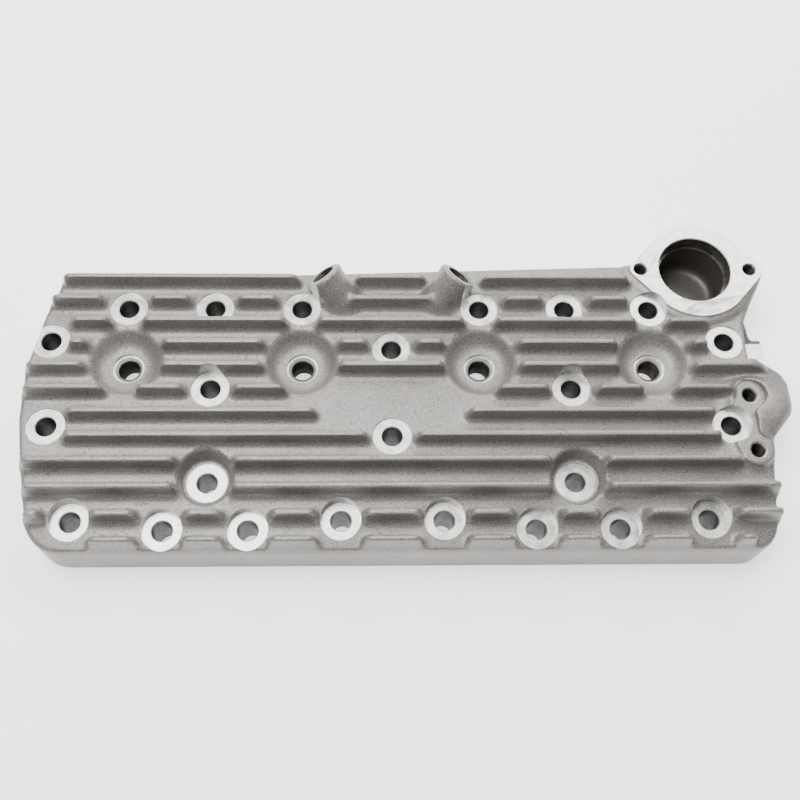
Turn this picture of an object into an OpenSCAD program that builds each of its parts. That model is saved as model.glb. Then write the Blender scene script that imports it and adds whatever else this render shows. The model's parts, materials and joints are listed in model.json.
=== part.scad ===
/* [Casting] */
// Height of the cast floor between the fins, above the gasket face
floor_h = 42; // [40:0.5:44]
// Line from which the cast floor falls towards the front
slope_y = -36; // [-40:1:-32]
// Slope of the floor in front of that line, in degrees
front_slope = 11.5; // [9:0.5:12.5]
// Height of the fin tops above the gasket face
fin_top_h = 53.5; // [52:0.5:58]
// Front edge of the casting, measured from the centre of the stud pattern
front_y = 91; // [90:0.5:94]
// Rear edge of the casting at the left end
rear_y = 82; // [81:0.5:84]
// Rear edge of the casting beside the water outlet
shelf_y = 93.3; // [91:0.5:96]
// Left end of the casting
left_x = 219.5; // [218.5:0.5:224]
// Right end of the casting beside the bracket pad
right_x = 226.5; // [225:0.5:230]
// Radius of the front left corner
left_corner_r = 23; // [18:1:26]
// Radius of the front right corner
right_corner_r = 16; // [12:1:20]
// Height of the upright band at the foot of the front wall
front_band_h = 26.5; // [20:0.5:29]
// Lean of the front wall above the band, in degrees
front_lean = 11; // [8:0.5:12]

/* [Studs] */
// Diameter of the stud holes
stud_d = 12; // [11:0.1:13.5]
// Height of the machined faces round the studs
spot_h = 41; // [38:0.5:41.5]
// Height of the machined faces of the front studs, which are cut deeper
low_spot_h = 30; // [29:0.5:31]
// Diameter of the machined faces
spot_d = 23; // [21:0.5:24]
// Diameter of the deeper machined faces
low_spot_d = 24; // [22:0.5:25]
// Distances of the three rear stud columns from the centre line
column_x = [55, 108.5, 161.5];
// Distance of the rear stud row from the centre
rear_row_y = 61.5; // [60:0.5:63]
// Place of the studs in the rear end bosses
end_stud = [206.5, 39];
// Place of the studs in the middle end bosses
side_stud = [203, -17];
// Distance of the studs between the cylinders from the centre
bridge_stud_y = 7; // [5:0.5:9]
// Distance of the studs in the two small wells from the centre
well_stud_y = -48.5; // [-50:0.5:-47]
// Distance of the rear stud on the centre line
centre_rear_y = 33.5; // [32:0.5:35]
// Distance of the front stud on the centre line
centre_front_y = -23.5; // [-25:0.5:-22]
// Place of the outermost studs of the front row
front_outer_stud = [185.5, -72];
// Distances of the second and third front studs from the centre line
front_mid_x = [132.5, 83.5];
// Distance of the second and third front studs from the centre
front_mid_y = -77.5; // [-78.5:0.5:-76]
// Place of the innermost studs of the front row
front_inner_stud = [30, -72];
// Diameter of the two small wells at the floor
small_well_d = 33; // [31:0.5:34]
// Diameter of the two small wells at their foot
small_well_foot_d = 28.4; // [26:0.2:30]

/* [Cylinders] */
// Distances of the two cylinders of one side from the centre line
cylinder_x = [54.5, 160.5];
// Distance of the plug holes from the centre of the pattern
plug_y = 25; // [23:0.5:27]
// Minor diameter of the plug thread
plug_d = 12.8; // [12:0.1:13.2]
// Height of the plug seat
plug_seat_h = 30.5; // [28:0.5:32]
// Diameter of the plug seat
plug_seat_d = 19.5; // [18:0.5:22]
// Height of the cast bottom of the plug well
well_h = 32.5; // [32:0.5:34]
// Diameter of the plug well at its mouth
well_mouth_d = 43; // [40:0.5:45]
// Diameter of the plug well at its bottom
well_bottom_d = 31; // [28:0.5:34]
// Diameter of the cylinder bore that the chamber faces
bore_d = 81; // [78:0.5:84]
// Distance of the cylinder bores from the centre line
bore_y = -29; // [-31:0.5:-27]
// Depth of the chamber over the valves
chamber_depth = 11; // [8:0.5:14]
// Depth of the chamber over the piston
transfer_depth = 5; // [3:0.5:7]
// Front edge of the chamber over the piston
transfer_front_y = -8; // [-12:0.5:-4]
// Radius of the chamber lobe over each valve
valve_lobe_r = 20; // [18:0.5:21.5]
// Distance between the two valves of a cylinder
valve_pitch = 38; // [36:0.5:39]
// Distance of the valves from the centre line
valve_y = 28.5; // [27:0.5:30]

/* [Fins] */
// Centre of the rearmost fin
first_fin_y = 79; // [78:0.5:79.5]
// Distance between two fins
fin_pitch = 15; // [14.8:0.1:15.1]
// Thickness of a fin near its top
fin_tip_w = 3.4; // [2.6:0.1:4.4]
// Draft angle of the fin sides, in degrees
fin_draft = 6; // [3:0.5:8]
// Width of the sloping foot of a fin
fin_foot = 1.6; // [0.8:0.1:2.4]
// Radius of the rounded end of a fin, seen from its side
fin_end_r = 6.5; // [4:0.5:6.5]
// Half of the gap left in a fin round a stud
stud_gap = 12.7; // [12:0.1:15]
// Half of the gap left in a fin round a plug well
well_gap = 21; // [20:0.5:23]
// Half of the gap where a fin only brushes a plug well
brush_gap = 8; // [7:0.5:11]
// Half of the gap left in a fin round a small well
small_well_gap = 14.5; // [13.5:0.1:16]
// Half of the gap round a stud of the front row
front_gap = 12.2; // [12:0.1:14]
// Half of the bare place in the middle, at its wide end
bare_wide = 61.5; // [60:0.5:64]
// Half of the bare place in the middle, at its narrow end
bare_narrow = 43.5; // [40:0.5:46]

/* [Water outlet] */
// Centre of the outlet flange
outlet_pos = [193.5, 89];
// Height of the machined outlet face
outlet_h = 45.5; // [45:0.5:48]
// Diameter of the machined recess in the outlet
outlet_d = 45.5; // [43:0.5:47]
// Depth of the machined recess
outlet_recess = 9.5; // [6:0.5:12]
// Width of the ledge below the recess
outlet_ledge = 1.6; // [1:0.1:3]
// Height of the bottom of the outlet passage
outlet_floor_h = 11; // [10:0.5:14]
// Distance between the two outlet bolts
outlet_bolt_span = 69.8; // [68:0.2:72]
// Diameter of the outlet bolt threads
outlet_bolt_d = 7.4; // [6.5:0.1:8.5]
// Depth of the outlet bolt threads
outlet_bolt_depth = 18; // [12:0.5:20]
// Width of the flange across its round middle
flange_w = 66.6; // [65:0.2:69]
// Radius of the flange tips
flange_tip_r = 6; // [5:0.1:7]
// Reach of the tip centres beyond the bolts
flange_tip_out = 1.8; // [1:0.1:3]
// Offset of the cast flange from its bolts, toward the end
flange_shift = 1.2; // [0:0.1:2]
// Thickness of the flange
flange_t = 9; // [8:0.5:12]
// Height of the cast step round the flange
platform_h = 44; // [43:0.5:45]
// Width of the cast step round the flange
platform_w = 4; // [2:0.5:5]
// Height at which the neck under the flange begins
neck_h = 5; // [3:0.5:6]
// Diameter of the neck at its foot
neck_foot_d = 44; // [42:0.5:48]

/* [Pipe ports] */
// Distance of the port mouths from the centre line
port_x = 42.5; // [41:0.5:44]
// Distance of the port mouths from the centre of the pattern
port_y = 79; // [78:0.5:80]
// Height of the centre of the port mouths
port_h = 55; // [54:0.5:57]
// Lean of the ports from upright, in degrees
port_lean = 56; // [52:1:60]
// Turn of the ports from the long axis, in degrees
port_turn = 43; // [38:1:48]
// Diameter of the port bosses
port_boss_d = 24.5; // [22:0.5:26]
// Bore of the pipe threads
port_d = 14.4; // [13:0.1:15.5]
// Length of the port bosses down to their rounded end
port_len = 20; // [18:0.5:23]
// Depth of the pipe threads
port_depth = 22; // [18:0.5:24]

/* [Bracket pad] */
// Distance of the bracket holes from the centre line
bracket_x = 215.5; // [214:0.5:217]
// Places of the two bracket holes along the end
bracket_y = [1.5, -34];
// Height of the bracket pad
pad_h = 45.5; // [44:0.5:47]
// Radius of the pad round each bracket hole
pad_r = 9.2; // [8.5:0.1:10]
// Radius of the pad round the stud between them
pad_stud_r = 16; // [14:0.5:17]
// Bore of the bracket threads
bracket_d = 8.4; // [7.5:0.1:9]
// Depth of the bracket threads
bracket_depth = 20; // [14:0.5:24]
// Reach of the rounded ear from the centre line
ear_x = 240.5; // [239:0.5:243]
// Height of the rounded ear
ear_h = 51; // [49:0.5:53]
// Radius of the rounded top of the ear
ear_dome_r = 40; // [36:1:46]

/* [Gasket face] */
// Diameter of the coolant holes in the gasket face
coolant_d = 11; // [8:0.5:13]
// Depth of the coolant holes
coolant_depth = 16; // [12:0.5:18]

/* [Hidden] */
$fn = 64;
cast_colour = [0.66, 0.65, 0.63];
eps = 0.01;
over = 5;
tall = 100;
left_bend = [212, 57];
left_end_y = [22, -12];
left_top_x = 203.5;
left_front = [211.5, -68];
right_inset = 1.5;
ear_y = [23, -26];
ear_rear_bend = [237.5, 17];
ear_front_bend = [239, -11];
ear_side_y = [10, -6];
ear_dome_pos = [224, -1];
lug_x = 234.5;
lug_y = [26, 45.5];
lug_wall_x = 226.5;
lug_cut_x = 223;
lug_cut_y = [28, 44];
lug_h = 30;
neck_corner = [221, 53];
flange_root = [235.5, 83.5];
shelf_x = 140;
pad_left_x = 200;
fin_half = fin_tip_w / 2;
fin_h = fin_top_h - floor_h;
fin_base_half = fin_half / cos(fin_draft) + (fin_h - fin_half) * tan(fin_draft);
fin_blend = 0.05;
fin_side_half = fin_half - fin_blend;
fin_shoulder = fin_h - fin_half + fin_side_half * sin(fin_draft);
fin_inset = fin_base_half + fin_foot;
shortest_fin = 2 * fin_end_r;
fin_sink = 1.5;
flange_left = outlet_pos[0] - outlet_bolt_span / 2 - flange_tip_r - flange_tip_out;
end_fin_x = end_stud[0] - spot_d / 2;
side_fin_x = side_stud[0] - spot_d / 2;
pad_fin_x = bracket_x - pad_r;
port_gap = [39.5, 16];
port_stud_gap = [47.5, 20.5];
fin_set_in = 1;
outlet_cavity_r = outlet_d / 2 - outlet_ledge;
arc_overlap = 0.1;
cavity_foot = 3;
cavity_step_h = 6;
neck_inset = 6;
well_lip = 1;
valve_link_share = 1.5;
cut_w = 2 * left_x + 4 * over;
coolant_rear = [[81.75, 66], [135, 66]];
coolant_front = [[57, -80], [108.5, -80], [159, -80]];
coolant_mid = [[108.5, -20], [203, 11]];

upper_studs = concat(
    [for (x = column_x) [x, rear_row_y]],
    [end_stud, side_stud],
    [[column_x[1], bridge_stud_y]]
);
centre_studs = [[0, centre_rear_y], [0, centre_front_y]];
front_studs = concat([front_outer_stud], [for (x = front_mid_x) [x, front_mid_y]], [front_inner_stud]);

// Each fin: its left end, its right end and the gaps on one side, as centre and half width
fin_rows = [
    [left_edge(0), flange_left, [port_gap]],
    [left_edge(1), flange_left, [port_stud_gap, [column_x[1], stud_gap], [column_x[2], stud_gap]]],
    [end_fin_x, end_fin_x + fin_base_half, [[cylinder_x[0], brush_gap], [cylinder_x[1], brush_gap]]],
    [end_fin_x, end_fin_x, [[0, stud_gap], [cylinder_x[0], well_gap], [cylinder_x[1], well_gap]]],
    [left_edge(4), right_x, [[cylinder_x[0], well_gap], [cylinder_x[1], well_gap]]],
    [left_edge(5), pad_fin_x, [[0, bare_wide], [column_x[1], stud_gap], [cylinder_x[1], brush_gap]]],
    [side_fin_x, side_fin_x, [[0, bare_narrow]]],
    [side_fin_x, side_fin_x, [[0, stud_gap]]],
    [left_edge(8), pad_fin_x, [[column_x[1], small_well_gap]]],
    [left_edge(9), right_x - fin_set_in, [[column_x[1], small_well_gap]]],
    [left_edge(10), right_x - fin_set_in, front_gaps()],
    [left_edge(11), right_x - right_corner_r, front_gaps()]
];

function front_gaps() = [
    [front_inner_stud[0], front_gap],
    [front_mid_x[1], front_gap],
    [front_mid_x[0], front_gap],
    [front_outer_stud[0], front_gap]
];
function fin_y(i) = first_fin_y - i * fin_pitch;
function floor_drop(y) = max(0, slope_y - y) * tan(front_slope);
function left_edge(i) = lookup(fin_y(i), [
    [left_front[1], left_front[0]],
    [left_end_y[1], left_x],
    [left_end_y[0], left_x],
    [left_bend[1], left_bend[0]],
    [rear_y, left_top_x]
]) - fin_set_in;
function span_start(gaps, i) = i == 0 ? 0 : gaps[i - 1][0] + gaps[i - 1][1];
function span_end(gaps, i, end) = i == len(gaps) ? end : gaps[i][0] - gaps[i][1];
function side_spans(gaps, end) = [
    for (i = [0 : len(gaps)])
        if (span_end(gaps, i, end) - span_start(gaps, i) > shortest_fin)
            [span_start(gaps, i), span_end(gaps, i, end)]
];

// Copies a shape to both sides of the centre line
module both_sides() {
    children();
    mirror([1, 0, 0]) children();
}

module at_points(points) {
    for (p = points) translate([p[0], p[1], 0]) children();
}

module fin_profile() {
    polygon([
        [-fin_inset, -fin_sink],
        [-fin_inset, 0],
        [-fin_base_half + fin_foot * tan(fin_draft), fin_foot],
        [-fin_side_half, fin_shoulder],
        [fin_side_half, fin_shoulder],
        [fin_base_half - fin_foot * tan(fin_draft), fin_foot],
        [fin_inset, 0],
        [fin_inset, -fin_sink]
    ]);
    translate([0, fin_h - fin_half]) circle(r = fin_half);
}

// One stretch of fin with round ends, from x0 to x1
module fin(x0, x1) {
    intersection() {
        union() {
            translate([x0 + fin_inset, 0, 0])
                rotate([90, 0, 90]) linear_extrude(x1 - x0 - 2 * fin_inset) fin_profile();
            translate([x0 + fin_inset, 0, 0]) rotate([0, 0, 90]) fin_end();
            translate([x1 - fin_inset, 0, 0]) rotate([0, 0, -90]) fin_end();
        }
        translate([0, fin_h, 0]) rotate([90, 0, 0]) linear_extrude(2 * fin_h) fin_side(x0, x1);
    }
}

module fin_side(x0, x1) {
    translate([x0, -over]) square([x1 - x0, fin_h - fin_end_r + over]);
    translate([x0 + fin_end_r, -over]) square([x1 - x0 - 2 * fin_end_r, fin_h + over]);
    for (x = [x0 + fin_end_r, x1 - fin_end_r]) translate([x, fin_h - fin_end_r]) circle(r = fin_end_r);
}

module fin_end() {
    rotate_extrude(angle = 180) intersection() {
        fin_profile();
        translate([0, -over]) square([tall, tall]);
    }
}

module fin_row(i) {
    row = fin_rows[i];
    translate([0, fin_y(i), floor_h - floor_drop(fin_y(i))]) {
        for (s = side_spans(row[2], row[1])) if (s[0] > 0) fin(s[0], s[1]);
        mirror([1, 0, 0]) for (s = side_spans(row[2], row[0])) if (s[0] > 0) fin(s[0], s[1]);
        if (row[2][0][0] > row[2][0][1]) fin(-span_end(row[2], 0, 0), span_end(row[2], 0, 0));
    }
}

// Outline of the casting, with the ear and the lug at the right end
module outline() {
    polygon([
        [-left_top_x, rear_y],
        [-left_bend[0], left_bend[1]],
        [-left_x, left_end_y[0]],
        [-left_x, left_end_y[1]],
        [-left_front[0], left_front[1]],
        [-left_front[0] + left_corner_r, -front_y],
        [right_x - right_inset - right_corner_r, -front_y],
        [right_x - right_inset, -front_y + right_corner_r],
        [right_x, ear_y[1]],
        ear_front_bend,
        [ear_x, ear_side_y[1]],
        [ear_x, ear_side_y[0]],
        ear_rear_bend,
        [lug_wall_x, lug_y[0]],
        [lug_wall_x, lug_y[1]],
        neck_corner,
        flange_root,
        [flange_root[0], shelf_y],
        [shelf_x, shelf_y]
    ]);
    translate([-left_front[0] + left_corner_r, left_front[1]]) circle(r = left_corner_r);
    translate([right_x - right_inset - right_corner_r, -front_y + right_corner_r]) circle(r = right_corner_r);
}

module flange_shape(grow) {
    middle_r = flange_w / 2 + grow;
    tip_r = flange_tip_r + grow;
    span = outlet_bolt_span / 2 + flange_tip_out;
    lean = acos((middle_r - tip_r) / span);
    middle_side = (middle_r - arc_overlap) * [cos(lean), sin(lean)];
    tip_side = (tip_r - arc_overlap) * [cos(lean), sin(lean)];
    translate([flange_shift, 0]) {
        circle(r = middle_r);
        for (a = [0, 180]) rotate(a) {
            translate([span, 0]) circle(r = tip_r);
            polygon([
                [0, 0],
                [middle_side[0], -middle_side[1]],
                [span + tip_side[0], -tip_side[1]],
                [span + tip_side[0], tip_side[1]],
                middle_side
            ]);
        }
    }
}

module outlet_boss() {
    translate([outlet_pos[0], outlet_pos[1], 0]) {
        translate([0, 0, outlet_h - flange_t]) linear_extrude(flange_t) flange_shape(0);
        translate([0, 0, neck_h])
            cylinder(h = outlet_h - flange_t - neck_h + eps, d1 = neck_foot_d, d2 = flange_w - neck_inset);
    }
    linear_extrude(platform_h) intersection() {
        translate(outlet_pos) flange_shape(platform_w);
        outline();
    }
}

module outlet_cut() {
    translate([outlet_pos[0], outlet_pos[1], 0]) {
        translate([0, 0, outlet_h - outlet_recess]) cylinder(h = tall, d = outlet_d);
        translate([0, 0, outlet_floor_h]) cylinder(h = cavity_step_h + eps, r = outlet_cavity_r - cavity_foot);
        translate([0, 0, outlet_floor_h + cavity_step_h]) cylinder(h = tall, r = outlet_cavity_r);
        for (x = [-1, 1])
            translate([x * outlet_bolt_span / 2, 0, outlet_h - outlet_bolt_depth])
                cylinder(h = tall, d = outlet_bolt_d);
    }
}

module port_frame() {
    translate([port_x, port_y, port_h]) rotate([0, 0, port_turn]) rotate([0, port_lean, 0]) children();
}

module port_boss() {
    port_frame() {
        translate([0, 0, -port_len]) cylinder(h = port_len, d = port_boss_d);
        translate([0, 0, -port_len]) sphere(d = port_boss_d);
    }
}

module port_cut() {
    port_frame() translate([0, 0, -port_depth]) cylinder(h = port_depth + over, d = port_d);
}

// The pad is proud of the floor and sunk into the rounded ear
module pad_shape() {
    for (y = bracket_y) translate([bracket_x, y]) circle(r = pad_r);
    intersection() {
        translate(side_stud) circle(r = pad_stud_r);
        translate([pad_left_x, side_stud[1] - tall / 2]) square([tall, tall]);
    }
}

module ear() {
    difference() {
        intersection() {
            linear_extrude(ear_h) intersection() {
                outline();
                translate([pad_left_x, ear_y[1]]) square([tall, ear_y[0] - ear_y[1]]);
            }
            translate([ear_dome_pos[0], ear_dome_pos[1], ear_h - ear_dome_r]) sphere(r = ear_dome_r);
        }
        translate([0, 0, pad_h]) linear_extrude(tall) pad_shape();
    }
    linear_extrude(pad_h) intersection() {
        pad_shape();
        outline();
    }
}

module lug_cut() {
    translate([lug_cut_x, lug_cut_y[0], lug_h]) cube([tall, lug_cut_y[1] - lug_cut_y[0], tall]);
}

module fins() {
    intersection() {
        for (i = [0 : len(fin_rows) - 1]) fin_row(i);
        linear_extrude(fin_top_h + over) outline();
    }
}

module floor_slab() {
    difference() {
        linear_extrude(floor_h) outline();
        translate([-left_x - over, slope_y, floor_h])
            rotate([front_slope, 0, 0])
                translate([0, -tall, 0]) cube([cut_w, tall, tall]);
    }
}

module body() {
    floor_slab();
    fins();
    outlet_boss();
    both_sides() port_boss();
    ear();
    translate([lug_cut_x - over, lug_y[0], 0]) cube([lug_x - lug_cut_x + over, lug_y[1] - lug_y[0], lug_h]);
}

module spot_cut(h, d) {
    translate([0, 0, -over]) cylinder(h = tall, d = stud_d);
    translate([0, 0, h]) cylinder(h = tall, d = d);
}

module stud_cuts() {
    both_sides() {
        at_points(upper_studs) spot_cut(spot_h, spot_d);
        at_points(front_studs) spot_cut(low_spot_h, low_spot_d);
        translate([column_x[1], well_stud_y, 0]) {
            spot_cut(low_spot_h, low_spot_d);
            translate([0, 0, low_spot_h + well_lip])
                cylinder(h = floor_h - low_spot_h - well_lip, d1 = small_well_foot_d, d2 = small_well_d);
            translate([0, 0, floor_h - eps]) cylinder(h = tall, d = small_well_d);
        }
    }
    at_points(centre_studs) spot_cut(spot_h, spot_d);
}

module plug_cut() {
    translate([0, 0, -over]) cylinder(h = tall, d = plug_d);
    translate([0, 0, plug_seat_h]) cylinder(h = tall, d = plug_seat_d);
    translate([0, 0, well_h]) cylinder(h = floor_h - well_h, d1 = well_bottom_d, d2 = well_mouth_d);
    translate([0, 0, floor_h - eps]) cylinder(h = tall, d = well_mouth_d);
}

module chamber() {
    for (s = [-1, 1])
        translate([s * valve_pitch / 2, valve_y, -over]) cylinder(h = chamber_depth + over, r = valve_lobe_r);
    translate([-valve_pitch / 2, valve_y - valve_lobe_r, -over])
        cube([valve_pitch, valve_link_share * valve_lobe_r, chamber_depth + over]);
    translate([0, 0, -over]) linear_extrude(transfer_depth + over) intersection() {
        translate([0, bore_y]) circle(d = bore_d);
        translate([-bore_d / 2, transfer_front_y]) square([bore_d, valve_y - transfer_front_y]);
    }
}

module front_wall_cut() {
    translate([-left_x - over, -front_y, front_band_h])
        rotate([-front_lean, 0, 0])
            translate([0, -tall, 0]) cube([cut_w, tall, tall]);
}

module cylinder_head() {
    color(cast_colour) difference() {
        body();
        lug_cut();
        outlet_cut();
        both_sides() port_cut();
        stud_cuts();
        both_sides() for (x = cylinder_x) translate([x, plug_y, 0]) plug_cut();
        both_sides() for (x = cylinder_x) translate([x, 0, 0]) chamber();
        both_sides() at_points(concat(coolant_rear, coolant_front, coolant_mid))
            translate([0, 0, -over]) cylinder(h = coolant_depth + over, d = coolant_d);
        for (y = bracket_y) translate([bracket_x, y, pad_h - bracket_depth]) cylinder(h = tall, d = bracket_d);
        front_wall_cut();
    }
}

cylinder_head();
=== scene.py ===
import json
import math
import bpy
import numpy as np
import openvdb
from mathutils import Matrix, Vector

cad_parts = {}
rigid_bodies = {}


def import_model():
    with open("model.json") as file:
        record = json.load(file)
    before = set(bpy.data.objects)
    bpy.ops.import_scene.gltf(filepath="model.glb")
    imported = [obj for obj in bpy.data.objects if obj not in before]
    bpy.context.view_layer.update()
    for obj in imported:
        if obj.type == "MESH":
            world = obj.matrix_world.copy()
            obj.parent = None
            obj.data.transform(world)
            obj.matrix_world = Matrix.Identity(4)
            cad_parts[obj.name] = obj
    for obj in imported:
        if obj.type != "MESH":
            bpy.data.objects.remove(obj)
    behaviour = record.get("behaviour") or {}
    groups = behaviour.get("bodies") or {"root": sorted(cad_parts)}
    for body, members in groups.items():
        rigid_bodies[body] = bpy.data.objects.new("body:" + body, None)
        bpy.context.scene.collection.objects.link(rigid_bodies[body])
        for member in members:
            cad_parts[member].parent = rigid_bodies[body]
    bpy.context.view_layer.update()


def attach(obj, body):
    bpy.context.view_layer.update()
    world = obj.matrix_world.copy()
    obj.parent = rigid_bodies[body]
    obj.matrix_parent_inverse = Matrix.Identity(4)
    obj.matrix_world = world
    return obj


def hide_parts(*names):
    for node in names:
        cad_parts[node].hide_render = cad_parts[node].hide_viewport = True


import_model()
print("frame loaded")

mm = 0.001
tiny = 1e-6
sides = (1, -1)


# a shader socket that takes Python's operators
class Value:
    def __init__(self, paint, socket):
        self.paint, self.socket = paint, socket

    def op(self, kind, other, swap=False):
        pair = [other, self] if swap else [self, other]
        return self.paint.node("ShaderNodeMath", {"operation": kind}, {0: pair[0], 1: pair[1]})

    def __add__(self, other): return self.op("ADD", other)
    def __radd__(self, other): return self.op("ADD", other, True)
    def __sub__(self, other): return self.op("SUBTRACT", other)
    def __rsub__(self, other): return self.op("SUBTRACT", other, True)
    def __mul__(self, other): return self.op("MULTIPLY", other)
    def __rmul__(self, other): return self.op("MULTIPLY", other, True)
    def clamp(self): return self.paint.node("ShaderNodeClamp", {}, {"Value": self})

    def step(self, low, high):
        return self.paint.node("ShaderNodeMapRange", {"interpolation_type": "SMOOTHSTEP"},
                               {"Value": self, "From Min": low, "From Max": high})


class Paint:
    def __init__(self, name, settings):
        self.material = bpy.data.materials.new(name)
        self.material.use_nodes = True
        self.tree = self.material.node_tree
        self.shader = self.tree.nodes["Principled BSDF"]
        for key, value in settings.items():
            self.shader.inputs[key].default_value = value

    def node(self, kind, settings, inputs, output=0):
        made = self.tree.nodes.new(kind)
        for key, value in settings.items():
            setattr(made, key, value)
        for key, value in inputs.items():
            self.join(value, made.inputs[key])
        return Value(self, made.outputs[output])

    def join(self, value, socket):
        if isinstance(value, Value):
            self.tree.links.new(value.socket, socket)
        else:
            socket.default_value = value

    def into(self, name, value):
        self.join(value, self.shader.inputs[name])

    def place(self):
        return self.node("ShaderNodeTexCoord", {}, {}, "Object")

    def noise(self, size, detail=4.0, rough=0.55):
        return self.node("ShaderNodeTexNoise", {}, {"Vector": self.place(), "Scale": 1.0 / (size * mm),
                                                    "Detail": detail, "Roughness": rough})

    def length(self, vector):
        return self.node("ShaderNodeVectorMath", {"operation": "LENGTH"}, {0: vector}, "Value")

    def mix(self, factor, first, second):
        made = self.tree.nodes.new("ShaderNodeMix")
        made.data_type = "RGBA"
        for socket, value in zip([made.inputs[0], made.inputs[6], made.inputs[7]], [factor, first, second]):
            self.join(value, socket)
        return Value(self, made.outputs[2])

    def bump(self, height, depth):
        return self.node("ShaderNodeBump", {}, {"Height": height, "Distance": depth * mm, "Strength": 1.0})


# sizes of noise and depths of bump are in millimetres; a tone of 0 is the dark colour and 1 the light one
castLook = {
    "light": (0.35, 0.332, 0.312, 1), "dark": (0.11, 0.102, 0.094, 1), "metal": 0.45, "rough": 0.45, "roughSwing": 0.3,
    "grain": 0.9, "fine": 0.5, "patches": 24.0, "pits": 1.7, "pitEdge": (0.62, 0.72), "depth": 0.2,
    "middleTone": 0.57, "grainTone": 2.0, "fineTone": 1.6, "patchTone": 0.5, "pitTone": 0.25,
}
# painted shade in the cored passage under the outlet: its skin is darkened where the deep passage lies in shadow
cavityShade = {"tone": (0.07, 0.062, 0.055, 1), "share": 0.92, "at": (193.5, 89.0, 0.0), "r": 22.4, "blend": 0.6,
        "top": 41.0, "topBlend": 1.0}


# where the painted shade of the passage under the outlet falls
def cavityShadeMask(paint):
    place = paint.place()
    middle = tuple(v * mm for v in cavityShade["at"])
    offset = paint.node("ShaderNodeVectorMath", {"operation": "SUBTRACT"}, {0: place, 1: middle})
    across = paint.node("ShaderNodeVectorMath", {"operation": "MULTIPLY"}, {0: offset, 1: (1, 1, 0)})
    height = paint.node("ShaderNodeSeparateXYZ", {}, {"Vector": place}, "Z")
    outside = paint.length(across).step(cavityShade["r"] * mm, (cavityShade["r"] + cavityShade["blend"]) * mm)
    above = height.step((cavityShade["top"] - cavityShade["topBlend"]) * mm, cavityShade["top"] * mm)
    return (1 - outside) * (1 - above)


def castAluminium():
    # sand-cast skin: fine grain, small pits and slow changes of tone, with painted shade in the passage under the
    # outlet
    look = castLook
    paint = Paint("castAluminium", {"Metallic": look["metal"]})
    grain = paint.noise(look["grain"], 3.0, 0.65)
    fine = paint.noise(look["fine"], 2.0)
    patches = paint.noise(look["patches"], 3.0)
    pits = paint.noise(look["pits"], 2.0).step(*look["pitEdge"])
    tone = (grain - 0.5) * look["grainTone"] + (fine - 0.5) * look["fineTone"] \
        + (patches - 0.5) * look["patchTone"] + look["middleTone"] - pits * look["pitTone"]
    skin = paint.mix(tone.clamp(), look["dark"], look["light"])
    # painted shade: the passage under the outlet is mixed towards a near-black tone
    paint.into("Base Color", paint.mix(cavityShadeMask(paint) * cavityShade["share"], skin, cavityShade["tone"]))
    paint.into("Roughness", ((grain - 0.5) * look["roughSwing"] + look["rough"]).clamp())
    paint.into("Normal", paint.bump(grain * 0.7 + fine * 0.3 - pits * 0.6, look["depth"]))
    return paint.material


machinedLook = {
    "light": (0.74, 0.73, 0.71, 1), "dark": (0.40, 0.39, 0.38, 1), "metal": 0.7, "rough": 0.38, "roughSwing": 0.25,
    "cloud": 7.0, "scratch": 1.3, "grit": 0.5, "ringStep": 1.5, "depth": 0.03,
    "middleTone": 0.6, "cloudTone": 2.6, "scratchTone": 1.8, "ringTone": 0.2, "ringRough": 0.04,
}


def machinedAluminium():
    # spot-faced skin: faint rings round each tool centre, which the toolPath map gives
    look = machinedLook
    paint = Paint("machinedAluminium", {"Metallic": look["metal"]})
    reach = paint.length(paint.node("ShaderNodeUVMap", {"uv_map": "toolPath"}, {}))
    rings = paint.node("ShaderNodeMath", {"operation": "SINE"}, {0: reach * (2 * math.pi / (look["ringStep"] * mm))})
    cloud = paint.noise(look["cloud"], 3.0)
    scratch = paint.noise(look["scratch"], 3.0)
    tone = (cloud - 0.5) * look["cloudTone"] + (scratch - 0.5) * look["scratchTone"] \
        + look["middleTone"] + rings * look["ringTone"]
    rough = (cloud - 0.5) * look["roughSwing"] + look["rough"] + rings * look["ringRough"]
    paint.into("Base Color", paint.mix(tone.clamp(), look["dark"], look["light"]))
    paint.into("Roughness", rough.clamp())
    paint.into("Normal", paint.bump(rings * 0.5 + paint.noise(look["grit"]) * 0.5, look["depth"]))
    return paint.material


# painted shade: the bored walls and threads get dark tones that stand for the shade deep in the holes
boredLook = {"light": (0.13, 0.12, 0.11, 1), "dark": (0.05, 0.045, 0.041, 1), "metal": 0.6, "rough": 0.36,
             "roughSwing": 0.3, "blotch": 4.0, "chatter": 0.6, "blotchEdge": (0.35, 0.65), "depth": 0.05}


def boredAluminium():
    # drilled and tapped walls, with chatter marks; both tones are kept dark as painted shade inside the holes, and they
    # mix in random blotches
    look = boredLook
    paint = Paint("boredAluminium", {"Metallic": look["metal"]})
    blotch = paint.noise(look["blotch"], 3.0)
    chatter = paint.noise(look["chatter"], 2.0)
    tone = (blotch * 0.7 + chatter * 0.3).step(*look["blotchEdge"])
    paint.into("Base Color", paint.mix(tone, look["dark"], look["light"]))
    paint.into("Roughness", ((chatter - 0.5) * look["roughSwing"] + look["rough"]).clamp())
    paint.into("Normal", paint.bump(chatter, look["depth"]))
    return paint.material


cast, machined, bored = castAluminium(), machinedAluminium(), boredAluminium()
machinedSlot, boredSlot = 1, 2   # their places among the casting's materials
print("materials made")


def linked(name, data):
    made = bpy.data.objects.new(name, data)
    bpy.context.collection.objects.link(made)
    return made


def readArray(items, key, kind, width):
    values = np.empty(len(items) * width, kind)
    items.foreach_get(key, values)
    return values.reshape(-1, width)


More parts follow.
